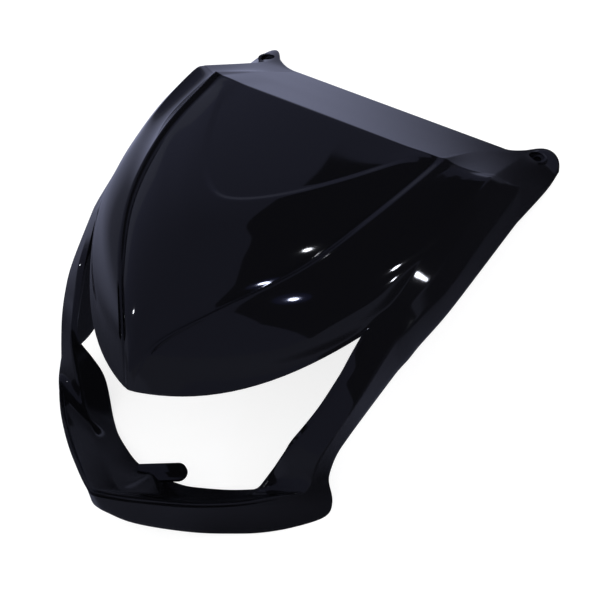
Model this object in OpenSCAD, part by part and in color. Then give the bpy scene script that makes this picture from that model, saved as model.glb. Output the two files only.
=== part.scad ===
// Headlight cowl of a small motorbike, moulded in one piece of black ABS.
// It lies face up as it rests on a bench: +Z out of the face, +Y from the chin to the two ears,
// X across. The origin is on the bench, in the mirror plane, on the line through the ear holes.

/* [Shell] */
// Width over the side ridges, the widest line of the cowl
shell_width = 247; // [235:1:260]
// Length from the line of the ear holes to the point of the chin
shell_length = 355; // [300:1:420]
// Height of the crest above the bench
shell_height = 154; // [125:1:185]
// Thickness of the moulded wall
wall = 2.6; // [1.8:0.1:3.2]

/* [Ears] */
// Distance between the two screw holes
ear_pitch = 215; // [211:0.5:219]
// Hole for an M5 screw
ear_hole_d = 5.5; // [4:0.1:6.5]
// Diameter of the flat seat sunk for the screw's head
seat_d = 10; // [8:0.5:11]
// Outer diameter of the boss that stands under each ear
boss_d = 14; // [13:0.5:18]
// Height of the screw seat above the boss's foot
seat_z = 10; // [8:0.5:12]
// How far the boss's rim stands proud of the ear
boss_proud = 0.6; // [0.3:0.1:1.5]

/* [Styling lines] */
// Width of the sloping step along the long V crease, at its top
step_a_width = 5; // [2:0.5:8]
// Drop of that step from the flank to the middle panel
step_a_drop = 1.8; // [0.5:0.1:3]
// Width of the sloping step along the short U crease
step_b_width = 3.5; // [2:0.5:6]
// Drop of that step into the panel under the band
step_b_drop = 1.4; // [0.5:0.1:2.5]

/* [Chin] */
// Width of the locating tongue on the chin's inner edge
tongue_width = 9; // [6:0.5:12]
// Reach of the tongue from its root to the middle of its round end
tongue_reach = 18; // [12:0.5:21]
// Thickness of the tongue
tongue_thick = 3; // [2:0.2:4]
// Angle between the tongue and the line of the ear holes
tongue_angle = 33; // [20:1:50]

/* [Hidden] */

// The shell's control points are laid out at this size and stretched to the sizes above
net_size = [247, 355, 154];
stretch = [shell_width / net_size[0], shell_length / net_size[1], shell_height / net_size[2]];

// Rows run from the top edge (0) over the band's border (2) and the U crease (3) to the edge over
// the headlight (9), then down the arm past the notch (14) to the middle of the chin (22).
row_border = 2;
row_u = 3;
row_edge = 9;
row_last = 22;

// Middle line of the shield, rows 0 to 9
middle_net = [
    [0, 0, 6], [0, -26, 39], [0, -79, 104], [0, -180, 147], [0, -215, 150], [0, -247, 147],
    [0, -272, 138], [0, -286, 127], [0, -294, 115], [0, -298, 104]];
// Long V crease, rows 0 to 9
crease_net = [
    [82, 0, 6], [82, -24, 36], [85.5, -72, 93], [85, -84, 97], [78, -138, 117], [63, -192, 129],
    [37, -238, 137], [14, -271, 135], [6, -287, 122], [3.5, -296.5, 108]];
// Round of the shoulder, rows 0 to 9
shoulder_net = [
    [90, -1.5, 10], [92.5, -20, 31.5], [95, -65, 77.5], [95, -78, 84], [94, -122, 98], [89.5, -163, 110],
    [81, -202, 114], [70, -233, 108], [61, -250, 100], [56, -262, 94.5]];
// Line of the opening's corner and the inner edge of arm and chin, rows 0 to 22
inner_net = [
    [99, 3, 9.5], [103, -17, 27.5], [110, -57, 69], [110, -68, 77], [108, -105, 88], [106.5, -140, 91],
    [104.5, -166, 90.5], [102.5, -181, 90], [101, -191, 89], [99, -198, 88],
    [94, -224, 76], [89.5, -242, 66], [85.5, -254, 60.5], [80, -265, 54], [74, -266.5, 37],
    [66.5, -270, 20], [57.5, -284, 4], [43, -297, 4.5], [28, -305, 9], [20, -308.5, 11],
    [14, -310.5, 14], [7, -313, 19], [0, -315, 24]];
// Inner ridge of arm and chin, rows 0 to 22
lip_net = [
    [108, 9, 2], [113, -16, 20], [116, -55, 62], [117, -63, 66], [116, -102, 77], [115, -139, 79],
    [111.5, -163, 80.5], [109, -178, 81], [107.5, -188, 80.5], [106, -196, 80],
    [99, -225, 74], [93, -243, 65.5], [89, -254.5, 60.5], [84.5, -265.5, 56], [79, -275, 49], [73.5, -284, 37],
    [67, -294, 24], [53, -306, 18], [39, -316, 24], [28, -323, 31], [20, -328, 36], [10, -333, 41], [0, -338, 46]];
// Outer ridge of flank and arm, then the chin's front crease, rows 0 to 22
ridge_net = [
    [118, 8, -3.5], [124.5, -17, 8], [123, -50.5, 53], [123.5, -58, 52], [123.5, -98, 62], [122, -138, 66],
    [118, -163, 70], [115.5, -177, 72.5], [114, -185, 73.5], [112.5, -192, 73.5],
    [108.5, -226, 64.5], [105, -242, 58], [101.5, -255, 50], [97.5, -267, 40], [96, -276, 27], [93, -284, 24.5],
    [85, -292, 31], [70, -307, 37.5], [55, -319.5, 45], [42, -329, 52], [30, -336.5, 59], [14, -346, 68.5],
    [0, -353, 77]];
// Rear rim of flank and arm, then the chin's lower edge, rows 0 to 22
rim_net = [
    [124.5, 0, -1.5], [123.5, -18, 4.5], [118.5, -47, 6.5], [117.5, -54, 7], [114, -92, 9], [110, -132, 11],
    [105.5, -160, 13], [104, -172, 13.5], [102.5, -180, 14], [101.5, -188, 14.5],
    [98.5, -222, 16], [97.5, -237, 17], [97, -249, 17.5], [99, -260, 19], [102.3, -268.5, 20], [106, -274.5, 7],
    [107, -280, -3], [91, -298, -1], [76, -310, 0], [60, -319, 0], [40, -334, 14], [16, -350, 38], [0, -355, 53]];

// Grid lines between two control rows, and across each strip of the section
steps_band = [5, 7];
steps_shield = 5;
steps_arm = 3;
across_middle = 9;
across_flank = 6;
across_lip = 2;
across_face = 3;
across_wall = 3;
round_sides = 48;

// One coordinate of a smooth curve through four points, between the middle two
function curve_value(a, b, c, d, t) =
    b + 0.5 * t * (c - a + t * (2 * a - 5 * b + 4 * c - d + t * (3 * (b - c) + d - a)));

// Point of a control line at a fractional row; the line breaks at the rows in `corners`
function on_line(net, r, corners) =
    let(n = len(net) - 1,
        k = min(floor(r), n - 1),
        t = r - k,
        b = net[k],
        c = net[k + 1],
        a = (k == 0 || is_corner(k, corners)) ? 2 * b - c : net[k - 1],
        d = (k + 1 == n || is_corner(k + 1, corners)) ? 2 * c - b : net[k + 2])
    [for (i = [0 : 2]) curve_value(a[i], b[i], c[i], d[i], t) * stretch[i]];

function is_corner(k, corners) = len([for (c = corners) if (c == k) 1]) > 0;

shield_corners = [row_border];
row_notch = 14;
edge_corners = [row_border, row_notch];

function middle_at(r) = on_line(middle_net, r, shield_corners);
function crease_at(r) = on_line(crease_net, r, shield_corners);
function shoulder_at(r) = on_line(shoulder_net, r, shield_corners);
function inner_at(r) = on_line(inner_net, r, shield_corners);
function lip_at(r) = on_line(lip_net, r, shield_corners);
function ridge_at(r) = on_line(ridge_net, r, edge_corners);
function rim_at(r) = on_line(rim_net, r, [row_border, row_notch + 1, row_notch + 2]);

// The net is drawn level with the foot of the rim; the finished shell is lifted onto the bench
net_lift = 3;
function lifted(p) = [p[0], p[1], max(0, p[2] + net_lift * stretch[2])];

// How strong the long crease's step is at a row: it fades in over the band and out towards the edge
function fade(r, from, to) = max(0, min(1, (r - from) / (to - from)));
fade_rows = 0.6;
step_a_left = 0.1;
function step_a(r) =
    fade(r, row_border - fade_rows, row_border) * (1 - (1 - step_a_left) * fade(r, row_u, row_edge));

// Foot of that step, where the middle panel begins; its width never passes a share of the half width
least_width = 0.25;
most_width = 0.6;
function crease_foot(r) =
    let(a = crease_at(r),
        w = min(step_a_width, a[0] * most_width) * (least_width + (1 - least_width) * step_a(r)))
    a - [w, 0, step_a_drop * step_a(r)];

// Middle panel at row r and share t of the half width. A row bows towards the chin and falls from the
// crown by powers of t; on the U row it reaches the crease's level at u_span. Between the band's border
// and the U the panel is the blend of those two rows, with the curve of its two side lines added.
band_bow = 2;
u_bow = 1.7;
u_span = 0.87;
low_bow = 1.6;
crown_fall = 1.9;
u_fall = 0.65;
row_low = 4;
function mix(a, b, s) = a + (b - a) * s;
function u_shape(t) = min(1, pow(t / u_span, u_bow));
function bow(r, t) =
    r <= row_border ? pow(t, band_bow) : mix(u_shape(t), pow(t, low_bow), fade(r, row_u, row_low));
function fall(r, t) =
    r <= row_border ? pow(t, band_bow)
    : mix(pow(t, crown_fall), u_shape(t), u_fall * (1 - fade(r, row_u, row_low)));
function panel_row_at(r, t) =
    let(m = middle_at(r),
        p = crease_foot(r))
    [p[0] * t, mix(m[1], p[1], bow(r, t)), mix(m[2], p[2], fall(r, t))];
function panel_at(r, t) =
    r <= row_border || r >= row_u ? panel_row_at(r, t)
    : let(s = r - row_border,
        middle_curve = middle_at(r) - mix(middle_at(row_border), middle_at(row_u), s),
        side_curve = crease_foot(r) - mix(crease_foot(row_border), crease_foot(row_u), s))
    mix(panel_row_at(row_border, t), panel_row_at(row_u, t), s)
        + mix(middle_curve, side_curve, pow(min(1, t / u_span), band_bow));

// Row of the U step's foot: a step's width inside the U, measured square to it. Past the legs' ends it
// runs on at foot_end.
foot_end = 2.85;
foot_least = 2.6;
tiny = 0.01;
leg_fade = [0.78, 0.88];
function flat(p) = [p[0], p[1]];
function foot_row(t) =
    let(along = flat(panel_at(row_u, min(t + tiny, 1)) - panel_at(row_u, max(t - tiny, 0))),
        inward = [-along[1], along[0]] / norm(along),
        gap = inward * flat(panel_at(row_u - tiny, t) - panel_at(row_u, t)) / tiny)
    t > leg_fade[1] ? foot_end : max(foot_least, row_u - step_b_width / max(gap, step_b_width));
function step_b(r, t) =
    r >= row_u ? 0 : fade(r, row_border - fade_rows, row_border) * (1 - fade(t, leg_fade[0], leg_fade[1]));

// Half section of a shield row, from the middle to the opening's corner line. Rows between the band's
// border and the U end on the foot of its step, so their place along the panel varies with t.
function row_to_foot(r, t) =
    let(share = (r - row_border) / (foot_end - row_border))
    r > row_border && r < row_u ? mix(row_border, foot_row(t), share) : r;
function shield_section(r) =
    let(a = crease_at(r),
        s = shoulder_at(r),
        v = inner_at(r),
        bend = 2 * s - (a + v) / 2)
    concat(
        [for (i = [0 : across_middle - 1])
            let(t = i / across_middle)
            panel_at(row_to_foot(r, t), t) - [0, 0, step_b_drop * step_b(r, t)]],
        [crease_foot(r)],
        [for (i = [0 : across_flank - 1])
            let(t = i / across_flank)
            a * pow(1 - t, 2) + bend * 2 * t * (1 - t) + v * pow(t, 2)]);

// Section from the inner edge over the outer ridge to the rim, for every row
function side_section(r) =
    let(v = inner_at(r),
        l = lip_at(r),
        g = ridge_at(r),
        e = rim_at(r))
    concat(
        [for (i = [0 : across_lip - 1]) v + (l - v) * i / across_lip],
        [for (i = [0 : across_face - 1]) l + (g - l) * i / across_face],
        [for (i = [0 : across_wall]) g + (e - g) * i / across_wall]);

// Rows of the finished grid
rows_top = [
    for (k = [0 : row_border - 1]) for (i = [0 : steps_band[k] - 1]) k + i / steps_band[k]];
rows_panel = [for (i = [0 : steps_shield]) row_border + (foot_end - row_border) * i / steps_shield];
rows_shield = [for (i = [0 : (row_edge - row_u) * steps_shield - 1]) row_u + i / steps_shield];
shield_rows = concat(rows_top, rows_panel, rows_shield, [row_edge]);
arm_rows = [for (i = [1 : (row_last - row_edge) * steps_arm]) row_edge + i / steps_arm];

n_shield = len(shield_rows);
n_arm = len(arm_rows);
half_cols = across_middle + 1 + across_flank;
side_cols = across_lip + across_face + across_wall + 1;
all_cols = half_cols + side_cols;

// Points of the right half's outer skin: shield rows first, then the rows of arm and chin
shield_pts = [for (r = shield_rows) concat(shield_section(r), side_section(r))];
arm_pts = [for (r = arm_rows) side_section(r)];

// Grid point at row j and column i of the right half; rows past the shield hold side columns only
function grid(j, i) = j < n_shield ? shield_pts[j][i] : arm_pts[j - n_shield][i - half_cols];
function flip(p) = [-p[0], p[1], p[2]];
n_rows = n_shield + n_arm;
first_col = half_cols;

// Neighbours along and across the grid, mirrored where the grid meets the middle plane
function before_row(j, i) = j > 0 ? grid(j - 1, i) : grid(0, i);
function after_row(j, i) =
    j == n_rows - 1 ? flip(grid(j - 1, i))
    : (j == n_shield - 1 && i < first_col ? grid(j, i) : grid(j + 1, i));
function before_col(j, i) =
    j < n_shield ? (i > 0 ? grid(j, i - 1) : flip(grid(j, 1))) : grid(j, max(i - 1, first_col));
function after_col(j, i) = grid(j, min(i + 1, all_cols - 1));

// Outward unit normal of the outer skin
function skin_normal(j, i) =
    let(n = cross(after_row(j, i) - before_row(j, i), after_col(j, i) - before_col(j, i)))
    n / norm(n);

// Inner skin: one wall thickness behind the outer one
function inner_point(j, i) =
    let(p = grid(j, i),
        n = skin_normal(j, i))
    p - wall * n;
function centred(p, j, i) = (j == n_rows - 1 || (i == 0 && j < n_shield)) ? [0, p[1], p[2]] : p;

outer_right = [
    for (j = [0 : n_rows - 1]) for (i = [(j < n_shield ? 0 : first_col) : all_cols - 1])
        lifted(centred(grid(j, i), j, i))];
inner_right = [
    for (j = [0 : n_rows - 1]) for (i = [(j < n_shield ? 0 : first_col) : all_cols - 1])
        lifted(centred(inner_point(j, i), j, i))];

// Place of a grid point in the list of one skin
function at(j, i) =
    j < n_shield ? j * all_cols + i : n_shield * all_cols + (j - n_shield) * side_cols + i - first_col;
n_skin = n_shield * all_cols + n_arm * side_cols;

// The four skins follow each other: outer right, inner right, outer left, inner left
function on_seam(j, i) = (i == 0 && j < n_shield) || j == n_rows - 1;
function right(j, i, skin) = skin * n_skin + at(j, i);
function left(j, i, skin) = on_seam(j, i) ? right(j, i, skin) : (2 + skin) * n_skin + at(j, i);

function quad(a, b, c, d, turn) = turn ? [[a, c, b], [a, d, c]] : [[a, b, c], [a, c, d]];
function patch(j, i, skin) =
    let(a = right(j, i, skin),
        b = right(j, i + 1, skin),
        c = right(j + 1, i + 1, skin),
        d = right(j + 1, i, skin))
    quad(a, b, c, d, skin == 1);
function patch_left(j, i, skin) =
    let(a = left(j, i, skin),
        b = left(j, i + 1, skin),
        c = left(j + 1, i + 1, skin),
        d = left(j + 1, i, skin))
    quad(a, b, c, d, skin == 0);

// Walls that close the edge between the two skins, along a run of grid points
function band_right(j1, i1, j2, i2) =
    quad(right(j1, i1, 0), right(j1, i1, 1), right(j2, i2, 1), right(j2, i2, 0), true);
function band_left(j1, i1, j2, i2) =
    quad(left(j1, i1, 0), left(j1, i1, 1), left(j2, i2, 1), left(j2, i2, 0), false);

cells = concat(
    [for (j = [0 : n_shield - 2]) for (i = [0 : all_cols - 2]) [j, i]],
    [for (j = [n_shield - 1 : n_rows - 2]) for (i = [first_col : all_cols - 2]) [j, i]]);
edges = concat(
    [for (i = [0 : all_cols - 2]) [0, i + 1, 0, i]],
    [for (j = [0 : n_rows - 2]) [j + 1, all_cols - 1, j, all_cols - 1]],
    [for (i = [0 : first_col - 1]) [n_shield - 1, i, n_shield - 1, i + 1]],
    [for (j = [n_shield - 1 : n_rows - 2]) [j, first_col, j + 1, first_col]]);

outer_left = [for (p = outer_right) flip(p)];
inner_left = [for (p = inner_right) flip(p)];
shell_points = concat(outer_right, inner_right, outer_left, inner_left);
shell_faces = concat(
    [for (c = cells) for (s = [0, 1]) for (f = patch(c[0], c[1], s)) f],
    [for (c = cells) for (s = [0, 1]) for (f = patch_left(c[0], c[1], s)) f],
    [for (e = edges) for (f = band_right(e[0], e[1], e[2], e[3])) f],
    [for (e = edges) for (f = band_left(e[0], e[1], e[2], e[3])) f]);

module shell() {
    polyhedron(points = shell_points, faces = shell_faces, convexity = 8);
}

// Plane of the right ear: a point of it and its upward normal
ear_point = lifted(lip_at(0));
ear_cross = cross(lifted(inner_at(0)) - ear_point, lifted(lip_at(1)) - ear_point);
ear_up = ear_cross / norm(ear_cross) * sign(ear_cross[2]);

module both_sides() {
    for (side = [0, 1])
        mirror([side, 0, 0])
            children();
}

// Round boss on the bench, trimmed along the slope of the ear
above_ear = 40;
module ear_boss() {
    block = 100;
    difference() {
        translate([ear_pitch / 2, 0, 0])
            cylinder(h = above_ear, d = boss_d, $fn = round_sides);
        translate(ear_point + boss_proud * ear_up)
            rotate([0, acos(ear_up[2]), atan2(ear_up[1], ear_up[0])])
                translate([-block / 2, -block / 2, 0])
                    cube(block);
    }
}

module screw_hole() {
    translate([ear_pitch / 2, 0, 0]) {
        translate([0, 0, -1])
            cylinder(h = seat_z + 2, d = ear_hole_d, $fn = round_sides);
        translate([0, 0, seat_z])
            cylinder(h = above_ear, d = seat_d, $fn = round_sides);
    }
}

// Flat tongue with a round end, growing sideways out of the chin's inner edge
tongue_root = [-2, -317, 19.5];
module tongue() {
    place = lifted([for (i = [0 : 2]) tongue_root[i] * stretch[i]]);
    translate(place)
        rotate([0, 0, tongue_angle]) {
            translate([0, -tongue_width / 2, 0])
                cube([tongue_reach, tongue_width, tongue_thick]);
            translate([tongue_reach, 0, 0])
                cylinder(h = tongue_thick, d = tongue_width, $fn = round_sides);
        }
}

// The whole moulding: shell, tongue and a boss under each ear, with the screw holes and their seats
module cowl() {
    color("#17171c")
    difference() {
        union() {
            shell();
            tongue();
            both_sides()
                ear_boss();
        }
        both_sides()
            screw_hole();
    }
}

cowl();
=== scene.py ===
import math

import bpy
from mathutils import Matrix, Vector


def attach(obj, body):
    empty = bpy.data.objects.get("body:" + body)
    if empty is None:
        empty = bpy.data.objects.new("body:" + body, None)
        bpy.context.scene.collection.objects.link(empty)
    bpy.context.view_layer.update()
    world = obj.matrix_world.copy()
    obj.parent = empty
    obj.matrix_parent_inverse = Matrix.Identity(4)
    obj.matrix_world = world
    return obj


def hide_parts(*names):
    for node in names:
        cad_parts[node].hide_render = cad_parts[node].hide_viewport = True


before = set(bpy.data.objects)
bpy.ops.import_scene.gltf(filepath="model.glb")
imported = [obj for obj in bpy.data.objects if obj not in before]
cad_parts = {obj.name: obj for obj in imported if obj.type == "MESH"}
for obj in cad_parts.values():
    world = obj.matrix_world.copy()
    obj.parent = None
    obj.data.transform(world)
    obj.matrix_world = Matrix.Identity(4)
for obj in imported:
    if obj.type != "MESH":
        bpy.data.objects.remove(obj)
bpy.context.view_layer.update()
scene = bpy.context.scene


# Camera: stands above the right front of the bench and looks down on the cowl at about 59 degrees,
# with a short telephoto lens, as the photograph was taken.
def mm(x, y, z):
    return Vector((x, y, z)) / 1000


camera_data = bpy.data.cameras.new("camera")
camera_data.sensor_fit = "HORIZONTAL"
camera_data.sensor_width = 36
camera_data.lens = 93.79
camera_data.clip_start = 0.01
camera_data.clip_end = 50
camera = bpy.data.objects.new("camera", camera_data)
scene.collection.objects.link(camera)
camera_right = Vector((0.84602, 0.5028, -0.1773)).normalized()
camera_back = Vector((0.38531, -0.34678, 0.85515)).normalized()
camera_up = camera_back.cross(camera_right)
camera_turn = Matrix((camera_right, camera_up, camera_back)).transposed()
camera.matrix_world = Matrix.Translation(mm(412.29, -519.01, 890.59)) @ camera_turn.to_4x4()
scene.camera = camera
scene.view_settings.view_transform = "Standard"


# Shell: the moulded skin, 2.6 mm thick. It is drawn with seven lines that run from the top edge down to
# the point of the shield, and on along the arm to the middle of the chin. The right half is laid over
# them as a grid, mirrored, rounded by one subdivision and given its wall.
WALL = 2.6
MERGE_MM = 0.02

# Raises the drawn lines, so that the lowest curve of the rim stands on the bench
LIFT = 3.0

# Two steps are moulded into the shield: A along the long V crease, B along the short U. Both rise out of
# the band over a part of a row. The U spans a share of the panel's half width and ends in its two legs.
STEP_A_WIDTH = 5.0
STEP_A_DROP = 1.8
STEP_B_WIDTH = 3.5
STEP_B_DROP = 1.4
STEP_RISE_ROWS = 0.6
U_SPAN = 0.87
U_LEG = (0.78, 0.88)

# Rows are counted down the lines. The ear's rows are rounded. Then come the band's lower border, the
# highest and the usual row of the U step's foot, the U's crest, the row where the U has faded out, the
# shield's lower edge, the notch and the corner where the arm meets the chin, and the chin's middle.
EAR_ROWS = 1.4
EAR_ROUNDS = 14
ROW_BORDER = 2
ROW_FOOT_TOP = 2.6
ROW_FOOT = 2.85
ROW_U = 3
ROW_LOW = 4
ROW_EDGE = 9
ROW_NOTCH = 14
ROW_CORNER = 16
ROW_LAST = 22

middle_line = [
    (0, 0, 6), (0, -26, 39), (0, -79, 104), (0, -180, 147), (0, -215, 150), (0, -247, 147),
    (0, -272, 138), (0, -286, 127), (0, -293.5, 117), (0, -297.2, 108.5)]
crease_line = [
    (82, 0, 6), (82, -24, 36), (85.5, -72, 93), (85, -84, 97), (78, -138, 117), (63, -192, 129),
    (37, -238, 137), (14, -271, 135), (6, -287, 122), (3.5, -296.5, 108)]
shoulder_line = [
    (90, -1.5, 10), (92.5, -20, 31.5), (95, -65, 77.5), (95, -78, 84), (94, -122, 98), (89.5, -163, 110),
    (81, -202, 114), (70, -233, 108), (61, -250, 100), (56, -262, 94.5)]
inner_line = [
    (99, 3, 9.5), (103, -17, 27.5), (110, -57, 69), (110, -68, 77), (108, -105, 88), (106.5, -140, 91),
    (104.5, -166, 90.5), (102.5, -181, 90), (101, -191, 89), (99, -198, 88),
    (94, -224, 76), (89.5, -242, 66), (85.5, -254, 60), (80, -265, 51.5), (74, -267, 36.5),
    (66.5, -271, 18), (56.4, -286.8, -2.2), (43, -297, 4.5), (28, -305, 9), (20, -308.5, 11),
    (14, -310.5, 14), (7, -313, 19), (0, -315, 24)]
lip_line = [
    (108, 17, 3), (113, -16, 20), (116, -55, 62), (117, -63, 66), (116, -102, 77), (115, -139, 79),
    (111.5, -163, 80.5), (109, -178, 81), (107.5, -188, 80.5), (106, -196, 80),
    (99, -225, 74), (93, -243, 65.5), (89, -254.5, 60.5), (84.5, -265.5, 56), (79, -275, 49),
    (73.5, -284, 37), (67, -294, 24), (53, -306, 18), (39, -316, 24), (28, -323, 31),
    (20, -328, 36), (10, -333, 41), (0, -338, 46)]
ridge_line = [
    (119.5, 12, -2.5), (124.5, -17, 8), (123, -50.5, 53), (123.5, -58, 52), (123.5, -98, 62),
    (122, -138, 66), (118, -163, 70), (115.5, -177, 72.5), (114, -185, 73.5), (112.5, -192, 73.5),
    (108.5, -226, 64.5), (105, -242, 58), (101.5, -255, 50), (97.5, -267, 40), (96, -276, 27),
    (93, -284, 24.5), (85, -292, 31), (70, -307, 37.5), (55, -319.5, 45), (42, -329, 52),
    (30, -336.5, 59), (14, -346, 68.5), (0, -353, 77)]
rim_line = [
    (122.5, 2, -1.5), (123.5, -18, 4.5), (118.5, -47, 6.5), (117.5, -54, 7), (114, -92, 9),
    (110, -132, 11), (105.5, -160, 13), (104, -172, 13.5), (102.5, -180, 14), (101.5, -188, 14.5),
    (98.5, -222, 16), (97.5, -237, 17), (97, -249, 17.5), (99, -260, 19), (102.3, -268.5, 20),
    (106, -274.5, 7), (104.5, -283, -2), (91, -298, -1), (76, -310, 0), (60, -319, 0),
    (40, -334, 14), (16, -350, 38), (0, -355, 53)]


def on_line(line, row, corners=(ROW_BORDER,)):
    # Point of a line at a fractional row: a smooth curve that breaks at the corner rows
    k = min(int(row), len(line) - 2)
    t = row - k
    b = Vector(line[k])
    c = Vector(line[k + 1])
    a = 2 * b - c if k == 0 or k in corners else Vector(line[k - 1])
    d = 2 * c - b if k + 2 == len(line) or k + 1 in corners else Vector(line[k + 2])
    return b + 0.5 * t * (c - a + t * (2 * a - 5 * b + 4 * c - d + t * (3 * (b - c) + d - a)))


def mix(a, b, share):
    return a + (b - a) * share


def fade(row, start, end):
    return max(0.0, min(1.0, (row - start) / (end - start)))


def step_rise(row):
    # How far the steps have risen out of the band, from 0 to 1 at its lower border
    return fade(row, ROW_BORDER - STEP_RISE_ROWS, ROW_BORDER)


def crease_foot(row):
    # Foot of the sloping step along the V crease, where the middle panel begins. The step dies out
    # towards the point of the shield.
    crease = on_line(crease_line, row)
    strength = step_rise(row) * (1 - 0.95 * fade(row, ROW_U, ROW_EDGE - 1))
    width = STEP_A_WIDTH * crease.x / (crease.x + 5) * (0.25 + 0.75 * strength)
    return crease - Vector((width, 0, STEP_A_DROP * strength))


def u_shape(t):
    return min(1.0, (t / U_SPAN) ** 1.7)


def panel_row(row, t):
    # Middle panel at share t of the half width: the row bows to the chin and falls from the crown
    middle = on_line(middle_line, row)
    foot = crease_foot(row)
    if row <= ROW_BORDER:
        bow = t**2
        fall = bow
    else:
        low = fade(row, ROW_U, ROW_LOW)
        bow = mix(u_shape(t), t**1.6, low)
        fall = mix(t**1.9, u_shape(t), 0.65 * (1 - low))
    return Vector((foot.x * t, mix(middle.y, foot.y, bow), mix(middle.z, foot.z, fall)))


def panel(row, t):
    # Between the band's border and the U the panel blends those two rows and keeps its lines' curves
    if row <= ROW_BORDER or row >= ROW_U:
        return panel_row(row, t)
    share = row - ROW_BORDER
    curves = []
    for line in (lambda at: on_line(middle_line, at), crease_foot):
        curves.append(line(row) - mix(line(ROW_BORDER), line(ROW_U), share))
    base = mix(panel_row(ROW_BORDER, t), panel_row(ROW_U, t), share)
    return base + mix(curves[0], curves[1], min(1.0, t / U_SPAN) ** 2)


def foot_row(t):
    # Row on which the U step's foot runs: one step's width inside the U, measured square to it
    if t > U_LEG[1]:
        return ROW_FOOT
    near = 0.01
    along = (panel(ROW_U, min(t + near, 1)) - panel(ROW_U, max(t - near, 0))).xy
    inward = Vector((-along.y, along.x)).normalized()
    gap = inward.dot((panel(ROW_U - near, t) - panel(ROW_U, t)).xy) / near
    return max(ROW_FOOT_TOP, ROW_U - STEP_B_WIDTH / max(gap, STEP_B_WIDTH))


def side_section(row):
    # From the opening's corner line over the lip and the outer ridge to the rim behind. The points
    # crowd at the lines, so that the ridges stay crisp when the grid is subdivided.
    inner = on_line(inner_line, row, (ROW_BORDER, ROW_CORNER))
    lip = on_line(lip_line, row)
    ridge = on_line(ridge_line, row, (ROW_BORDER, ROW_NOTCH))
    rim = on_line(rim_line, row)
    points = [mix(inner, lip, t) for t in (0, 0.15, 0.5, 0.85)]
    points += [mix(lip, ridge, t) for t in (0, 0.1, 0.37, 0.63, 0.9)]
    points += [mix(ridge, rim, t) for t in (0, 0.05, 0.3, 0.65, 1)]
    softness = 0.5 * (1 - fade(row, 0, EAR_ROWS))
    for _ in range(EAR_ROUNDS):
        # The ear's pad and its outline are round, and its corners harden where the flank begins
        middles = [mix(a, b, 0.5) for a, b in zip(points[:-2], points[2:])]
        points[1:-1] = [mix(a, b, softness) for a, b in zip(points[1:-1], middles)]
    return points


def shield_section(row):
    # A whole row of the right half: the panel, the V crease's step, the shoulder's arc and the side.
    # The panel's last point lies close to the V step's foot, which keeps that edge crisp.
    crease = on_line(crease_line, row)
    shoulder = on_line(shoulder_line, row)
    inner = on_line(inner_line, row)
    foot = crease_foot(row)
    shares = [i / 12 for i in range(12)] + [1 - min(0.03, 1.5 / foot.x)]
    points = []
    for t in shares:
        at = row
        drop = 0
        if row < ROW_U:
            drop = step_rise(row) * (1 - fade(t, *U_LEG))
        if ROW_BORDER < row < ROW_U:
            at = mix(ROW_BORDER, foot_row(t), (row - ROW_BORDER) / (ROW_FOOT - ROW_BORDER))
        points.append(panel(at, t) - Vector((0, 0, STEP_B_DROP * drop)))
    points += [mix(foot, crease, t) for t in (0, 0.25, 0.75)]
    bend = 2 * shoulder - (crease + inner) / 2
    for t in [0, 0.03] + [i / 9 for i in range(1, 9)] + [0.97]:
        points.append(crease * (1 - t) ** 2 + bend * 2 * t * (1 - t) + inner * t**2)
    return points + side_section(row)


def lay_grid(name, rows):
    # A flat grid primitive whose points are moved onto the rows of the moulding
    across = len(rows[0]) - 1
    down = len(rows) - 1
    bpy.ops.object.select_all(action="DESELECT")
    bpy.ops.mesh.primitive_grid_add(x_subdivisions=across, y_subdivisions=down, size=2)
    piece = bpy.context.active_object
    piece.name = name
    for vertex in piece.data.vertices:
        i = round((vertex.co.x + 1) / 2 * across)
        j = round((vertex.co.y + 1) / 2 * down)
        x, y, z = rows[j][i]
        vertex.co = mm(x, y, max(0.0, z + LIFT))
    return piece


def open_for_editing(piece):
    # Edit mode with the whole piece selected, and nothing else
    bpy.ops.object.select_all(action="DESELECT")
    piece.select_set(True)
    bpy.context.view_layer.objects.active = piece
    bpy.ops.object.mode_set(mode="EDIT")
    bpy.ops.mesh.select_all(action="SELECT")


def finish_with(piece, kind, **settings):
    # One modifier, set and applied
    bpy.context.view_layer.objects.active = piece
    modifier = piece.modifiers.new(kind.lower(), kind)
    for name, value in settings.items():
        setattr(modifier, name, value)
    bpy.ops.object.modifier_apply(modifier=modifier.name)


def round_edges(piece, radius, segments, angle):
    # A small radius in millimetres on every edge that is sharper than the angle
    finish_with(
        piece, "BEVEL", width=radius / 1000, segments=segments, limit_method="ANGLE",
        angle_limit=math.radians(angle))


# The band's rows, those round the U step with its foot and its crest, and the even ones below
step_shares = (-0.02, 0, 0.03, 0.2, 0.4, 0.6, 0.8, 0.98, 1)
below_u = 5 * (ROW_EDGE - ROW_U)
shield_rows = [shield_section(i / 5) for i in range(5)]
shield_rows += [shield_section(1 + i / 7) for i in range(7)]
shield_rows += [shield_section(mix(ROW_BORDER, ROW_FOOT, share)) for share in step_shares]
u_row = shield_section(ROW_U)
shield_rows += [[mix(a, b, t) for a, b in zip(shield_rows[-1], u_row)] for t in (0.3, 0.7)]
shield_rows += [u_row, shield_section(ROW_U + 0.03)]
shield_rows += [shield_section(ROW_U + i / 5) for i in range(1, below_u + 1)]
arm_rows = [side_section(ROW_EDGE + i / 4) for i in range(4 * (ROW_LAST - ROW_EDGE) + 1)]
for row in shield_rows:
    row[0].x = 0
for point in arm_rows[-1]:
    point.x = 0

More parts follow.
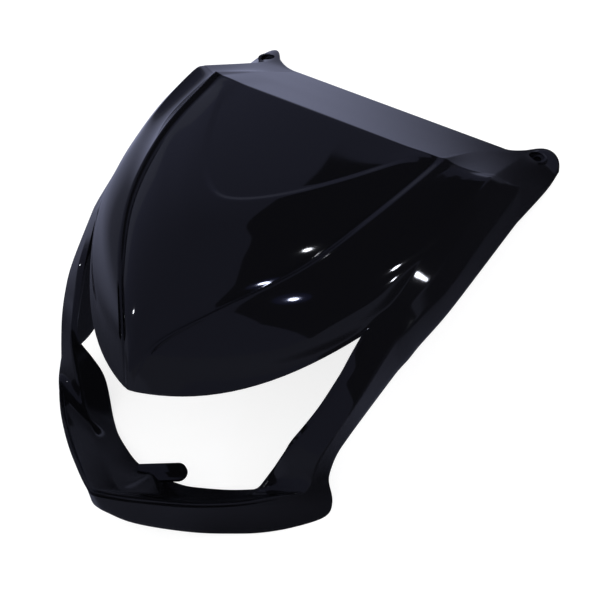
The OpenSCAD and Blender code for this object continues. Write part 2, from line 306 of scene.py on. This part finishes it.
shell = lay_grid("cowl_shell", shield_rows)
arm = lay_grid("cowl_arm", arm_rows)
bpy.ops.object.select_all(action="DESELECT")
arm.select_set(True)
shell.select_set(True)
bpy.context.view_layer.objects.active = shell
bpy.ops.object.join()
open_for_editing(shell)
bpy.ops.mesh.remove_doubles(threshold=MERGE_MM / 1000)
bpy.ops.mesh.normals_make_consistent(inside=False)
bpy.ops.object.mode_set(mode="OBJECT")
crest = max(shell.data.polygons, key=lambda face: face.center.z)
if crest.normal.z < 0:
    # An open skin has no inside of its own, so its crest says which side is the face
    open_for_editing(shell)
    bpy.ops.mesh.flip_normals()
    bpy.ops.object.mode_set(mode="OBJECT")

finish_with(shell, "MIRROR", use_axis=(True, False, False), merge_threshold=MERGE_MM / 1000)
finish_with(shell, "SUBSURF", levels=1, render_levels=1, boundary_smooth="PRESERVE_CORNERS")
finish_with(shell, "SOLIDIFY", thickness=WALL / 1000, offset=-1, material_offset=1, material_offset_rim=0)
for vertex in shell.data.vertices:
    # The inner skin ends on the bench, as the rim does
    vertex.co.z = max(0.0, vertex.co.z)
round_edges(shell, radius=0.5, segments=2, angle=55)


# Ear bosses: a round pillar under each ear stands on the bench and takes an M5 screw, whose head sits
# in a sunk seat. They are part of the moulding, and end inside the pad along its slope.
EAR_PITCH = 215
BOSS_D = 14
BOSS_SUNK = 1.6
HOLE_D = 5.5
SEAT_D = 10
SEAT_Z = 10
ABOVE_EAR = 40
ROUND_SIDES = 64
ear_point = Vector(lip_line[0]) + Vector((0, 0, LIFT))
pad_across = Vector(inner_line[0]) - Vector(lip_line[0])
pad_along = Vector(lip_line[1]) - Vector(lip_line[0])
ear_cross = pad_across.cross(pad_along)
ear_up = ear_cross.normalized() * (1 if ear_cross.z > 0 else -1)


def pillar(name, side, low, high, diameter):
    # An upright round bar on the line of one screw
    bpy.ops.object.select_all(action="DESELECT")
    bpy.ops.mesh.primitive_cylinder_add(
        vertices=ROUND_SIDES, radius=diameter / 2000, depth=(high - low) / 1000)
    piece = bpy.context.active_object
    piece.name = name
    for vertex in piece.data.vertices:
        vertex.co += mm(side * EAR_PITCH / 2, 0, (low + high) / 2)
    return piece


def combine(base, tool, operation):
    # The tool is fused with the base or cut from it, and leaves the scene
    finish_with(base, "BOOLEAN", operation=operation, solver="EXACT", object=tool)
    bpy.data.objects.remove(tool)


for side in (1, -1):
    boss = pillar("ear_boss", side, 0, ABOVE_EAR, BOSS_D)
    top = ear_point - BOSS_SUNK * ear_up
    open_for_editing(boss)
    bpy.ops.mesh.bisect(
        plane_co=mm(side * top.x, top.y, top.z),
        plane_no=(side * ear_up.x, ear_up.y, ear_up.z),
        use_fill=True,
        clear_outer=True)
    bpy.ops.object.mode_set(mode="OBJECT")
    round_edges(boss, radius=0.4, segments=2, angle=40)
    combine(shell, boss, "UNION")
    combine(shell, pillar("screw_seat", side, SEAT_Z, ABOVE_EAR, SEAT_D), "DIFFERENCE")
    combine(shell, pillar("screw_hole", side, -1, SEAT_Z + 1, HOLE_D), "DIFFERENCE")


# Locating tongue: a flat finger with a round end that grows sideways out of the chin's inner edge, and
# hooks behind the headlight when the cowl is fitted. It is part of the same moulding.
TONGUE_WIDTH = 11.5
TONGUE_REACH = 20
TONGUE_THICK = 3
TONGUE_BURIED = 6
TONGUE_TURN = 28
tongue_root = mm(-3, -315, 19.5 + LIFT)
bpy.ops.object.select_all(action="DESELECT")
bpy.ops.mesh.primitive_cylinder_add(
    vertices=ROUND_SIDES, radius=TONGUE_WIDTH / 2000, depth=TONGUE_THICK / 1000)
tongue = bpy.context.active_object
tongue.name = "tongue"
turn = Matrix.Rotation(math.radians(TONGUE_TURN), 4, "Z")
for vertex in tongue.data.vertices:
    if vertex.co.x < -0.00001:
        # The back half of the disc is drawn out into the plate, and its end is buried in the chin
        vertex.co.x = -(TONGUE_REACH + TONGUE_BURIED) / 1000
    vertex.co += mm(TONGUE_REACH, 0, TONGUE_THICK / 2)
    vertex.co = tongue_root + turn @ vertex.co
round_edges(tongue, radius=0.6, segments=3, angle=50)
combine(shell, tongue, "UNION")

# The small radii can leave a slit without width in a tight corner, and such slits are closed
open_for_editing(shell)
bpy.ops.mesh.fill_holes(sides=4)
bpy.ops.object.mode_set(mode="OBJECT")
bpy.ops.object.shade_smooth_by_angle(angle=math.radians(32))


# Finish: acrylonitrile butadiene styrene (ABS), dyed black and injection-moulded in a polished mould.
# The face comes out as a hard gloss, faintly wavy over 30 mm where the melt cooled, with a haze that
# varies over 9 mm. The back has the grain of a plain tool, drawn at 2.5 mm, and looks satin.
HAZE_MM = 9


def linear(code):
    # A hex sRGB colour as the linear values that a shader works in
    parts = [int(code[i : i + 2], 16) / 255 for i in (1, 3, 5)]
    return [p / 12.92 if p <= 0.04045 else ((p + 0.055) / 1.055) ** 2.4 for p in parts] + [1]


def add_node(tree, kind, settings=None, values=None, links=None):
    # One shader node, its settings, its socket values, and the outputs that feed its sockets
    node = tree.nodes.new(kind)
    for name, value in (settings or {}).items():
        setattr(node, name, value)
    for name, value in (values or {}).items():
        node.inputs[name].default_value = value
    for name, output in (links or {}).items():
        tree.links.new(output, node.inputs[name])
    return node


def bare_tree(owner):
    # The empty node tree of a new material or world
    owner.use_nodes = True
    owner.node_tree.nodes.clear()
    return owner.node_tree


def abs_black(name, colour, roughness, ripple_mm, ripple_height_mm):
    material = bpy.data.materials.new(name)
    tree = bare_tree(material)
    place = add_node(tree, "ShaderNodeTexCoord")
    ripple = add_node(
        tree, "ShaderNodeTexNoise", values={"Scale": 1000 / ripple_mm, "Detail": 1.0, "Roughness": 0.4},
        links={"Vector": place.outputs["Object"]})
    bump = add_node(
        tree, "ShaderNodeBump", values={"Strength": 1.0, "Distance": ripple_height_mm / 1000},
        links={"Height": ripple.outputs["Fac"]})
    haze = add_node(
        tree, "ShaderNodeTexNoise", values={"Scale": 1000 / HAZE_MM, "Detail": 3.0, "Roughness": 0.6},
        links={"Vector": place.outputs["Object"]})
    rough = add_node(
        tree, "ShaderNodeMapRange",
        values={"From Min": 0.3, "From Max": 0.7, "To Min": roughness * 0.85, "To Max": roughness * 1.15},
        links={"Value": haze.outputs["Fac"]})
    skin = add_node(
        tree, "ShaderNodeBsdfPrincipled", values={"Base Color": linear(colour), "IOR": 1.53},
        links={"Roughness": rough.outputs["Result"], "Normal": bump.outputs["Normal"]})
    add_node(tree, "ShaderNodeOutputMaterial", links={"Surface": skin.outputs["BSDF"]})
    return material


face = abs_black("gloss_black_moulded_abs", "#0a0a0d", roughness=0.05, ripple_mm=30, ripple_height_mm=0.02)
back = abs_black("satin_black_moulded_abs", "#121214", roughness=0.32, ripple_mm=2.5, ripple_height_mm=0.03)
shell.name = "cowl_moulding"
shell.data.materials.clear()
shell.data.materials.append(face)
shell.data.materials.append(back)
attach(shell, "root")
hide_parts("cowl")


# Bench: a sheet of matt white laminate under the cowl. The camera sees it white, and it keeps the soft
# shadow.
# The room is much dimmer than the sheet looks, so the gloss sees a painted reflection on the sheet: slate
# grey, with painted light towards the window behind the left shoulder, darker on the right, and painted shade
# in the opening.
bpy.ops.object.select_all(action="DESELECT")
bpy.ops.mesh.primitive_plane_add(size=16)
bench = bpy.context.active_object
bench.name = "bench"
# The bench's material: matt white for the camera, and a painted reflection that the gloss alone sees
laminate = bpy.data.materials.new("white_laminate_with_painted_reflection")
tree = bare_tree(laminate)
path = add_node(tree, "ShaderNodeLightPath")
matt = add_node(tree, "ShaderNodeBsdfDiffuse", values={"Color": linear("#adadad")})
white = add_node(tree, "ShaderNodeEmission", values={"Color": linear("#ffffff"), "Strength": 0.78})
lit = add_node(tree, "ShaderNodeAddShader", links={0: matt.outputs[0], 1: white.outputs[0]})
spot = add_node(tree, "ShaderNodeTexCoord")


def painted_reflection_grey(measure, vector, start, end, first, last):
    # A painted grey for the bench's reflection that goes from first to last over the bench, while the reach
    # along a vector or the distance from a point goes from start to end in metres
    reach = add_node(
        tree, "ShaderNodeVectorMath", {"operation": measure}, {1: vector}, {0: spot.outputs["Object"]})
    return add_node(
        tree, "ShaderNodeMapRange", {"interpolation_type": "SMOOTHSTEP"},
        {"From Min": start, "From Max": end, "To Min": first, "To Max": last},
        {"Value": reach.outputs["Value"]})


# Painted reflection, seen by the gloss alone: painted light towards the window that weakens far off, some
# painted light at the front, and a base grey that fades to the right and is darkest inside the cowl's
# opening, as painted shade
painted_window_light = painted_reflection_grey("DOT_PRODUCT", (-0.71, 0.71, 0), -0.06, 0.12, 0.0, 0.42)
painted_window_falloff = painted_reflection_grey("DISTANCE", (0, 0, 0), 0.2, 0.9, 1.0, 0.3)
painted_front_light = painted_reflection_grey("DOT_PRODUCT", (0.5, -0.87, 0), 0.33, 0.5, 0.0, 0.16)
base = painted_reflection_grey("DOT_PRODUCT", (1, 0.2, 0), 0.02, 0.11, 0.09, 0.02)
# Painted shade: the reflection darkens inside the cowl's opening
painted_opening_shade = painted_reflection_grey("DISTANCE", (0.03, -0.27, 0), 0.05, 0.1, 0.12, 1.0)
painted_window_level = add_node(
    tree, "ShaderNodeMath", {"operation": "MULTIPLY"}, links={0: painted_window_light.outputs[0], 1: painted_window_falloff.outputs[0]})
painted_base_level = add_node(
    tree, "ShaderNodeMath", {"operation": "MULTIPLY"}, links={0: base.outputs[0], 1: painted_opening_shade.outputs[0]})
painted_reflection_level = add_node(
    tree, "ShaderNodeMath", {"operation": "ADD"}, links={0: painted_window_level.outputs[0], 1: painted_front_light.outputs[0]})
painted_reflection_level = add_node(
    tree, "ShaderNodeMath", {"operation": "ADD"}, links={0: painted_reflection_level.outputs[0], 1: painted_base_level.outputs[0]})
# The painted reflection: a bluish glow in these greys
painted_reflection = add_node(
    tree, "ShaderNodeEmission", values={"Color": linear("#d2d8ff")}, links={"Strength": painted_reflection_level.outputs[0]})
# Glossy rays see the painted reflection, all other rays the lit laminate
seen = add_node(
    tree, "ShaderNodeMixShader",
    links={0: path.outputs["Is Glossy Ray"], 1: lit.outputs[0], 2: painted_reflection.outputs[0]})
add_node(tree, "ShaderNodeOutputMaterial", links={"Surface": seen.outputs[0]})
bench.data.materials.append(laminate)


# Light: an even white surround lights the cowl from all round. In the gloss it is hidden by painted
# reflections,
# which glow for the gloss alone: a slate-grey wall and ceiling and a dark patch over the right. A few bare
# bulbs stand in front of them.
ROOM_RADIUS = 7.5
PAINTED_DARK_AWAY = 3.0
SHIELD_MIDDLE = mm(40, -190, 125)
world = bpy.data.worlds.new("surround")
scene.world = world
tree = bare_tree(world)
surround = add_node(tree, "ShaderNodeBackground", values={"Color": linear("#ffffff"), "Strength": 1.0})
add_node(tree, "ShaderNodeOutputWorld", links={"Surface": surround.outputs[0]})


def direction(azimuth, zenith):
    # Unit vector: azimuth from +Y towards +X, zenith from straight up, in degrees
    a = math.radians(azimuth)
    z = math.radians(zenith)
    return Vector((math.sin(z) * math.sin(a), math.sin(z) * math.cos(a), math.cos(z)))


def only_painted_reflection(piece, name, colour):
    # A painted reflection of a wall of the room, which glows for the gloss alone
    material = bpy.data.materials.new(name)
    tree = bare_tree(material)
    glow = add_node(tree, "ShaderNodeEmission", values={"Color": linear(colour), "Strength": 1.0})
    add_node(tree, "ShaderNodeOutputMaterial", links={"Surface": glow.outputs[0]})
    piece.data.materials.append(material)
    piece.name = name
    piece.visible_camera = False
    piece.visible_diffuse = False
    piece.visible_shadow = False
    piece.visible_transmission = False
    piece.visible_volume_scatter = False


bpy.ops.object.select_all(action="DESELECT")
# A sphere round everything that glows slate grey: a painted reflection of the room
bpy.ops.mesh.primitive_uv_sphere_add(segments=48, ring_count=24, radius=ROOM_RADIUS)
only_painted_reflection(bpy.context.active_object, "painted_slate_room", "#585b74")

# The painted dark reflection's edge and its middle, each as azimuth and zenith from the middle of the shield
painted_dark_edge = [
    (341, 75), (343, 69), (347, 60), (354, 49), (22, 29), (51, 25), (90, 34), (113, 47), (118, 66),
    (112, 96), (80, 110), (53, 108), (49, 94), (36, 79), (4, 68), (346, 74)]
painted_dark_middle = (60, 70)
# A dark sheet over the right that glows faintly for the gloss alone: a painted dark reflection
bpy.ops.object.select_all(action="DESELECT")
bpy.ops.mesh.primitive_circle_add(vertices=len(painted_dark_edge), radius=1, fill_type="TRIFAN")
painted_dark = bpy.context.active_object
for vertex in painted_dark.data.vertices:
    around = math.atan2(vertex.co.y, vertex.co.x) / (2 * math.pi)
    way = painted_dark_edge[round(around * len(painted_dark_edge)) % len(painted_dark_edge)]
    if vertex.co.length < 0.5:
        way = painted_dark_middle
    vertex.co = SHIELD_MIDDLE + PAINTED_DARK_AWAY * direction(*way)
only_painted_reflection(painted_dark, "painted_dark_reflection", "#16171d")


def bulb(name, azimuth, zenith, away, radius, radiance, colour):
    # A small round lamp that faces the shield from a distance in metres. Its power follows from its
    # radiance and its area.
    data = bpy.data.lights.new(name, "AREA")
    data.shape = "DISK"
    data.size = 2 * radius
    data.energy = radiance * math.pi * math.pi * radius**2
    data.color = linear(colour)[:3]
    lamp = bpy.data.objects.new(name, data)
    scene.collection.objects.link(lamp)
    way = direction(azimuth, zenith)
    lamp.location = SHIELD_MIDDLE + away * way
    lamp.rotation_euler = way.to_track_quat("Z", "Y").to_euler()
    lamp.visible_camera = False


bulb("bulb_high", 90, 48, 2.0, 0.05, 60, "#dfe6ff")
bulb("bulb_high_glow", 90, 48, 2.1, 0.1, 0.5, "#8c9aff")
bulb("bulb_high_halo", 90, 48, 2.2, 0.2, 0.16, "#7c8cff")
bulb("bulb_middle", 57, 45, 2.0, 0.035, 50, "#f2f5ff")
bulb("bulb_far_left", 251, 66, 2.0, 0.03, 70, "#f2f5ff")
bulb("bulb_low_left", 66, 78, 2.0, 0.05, 60, "#eef2ff")
bulb("bulb_low_right", 73, 89, 2.0, 0.03, 60, "#eef2ff")
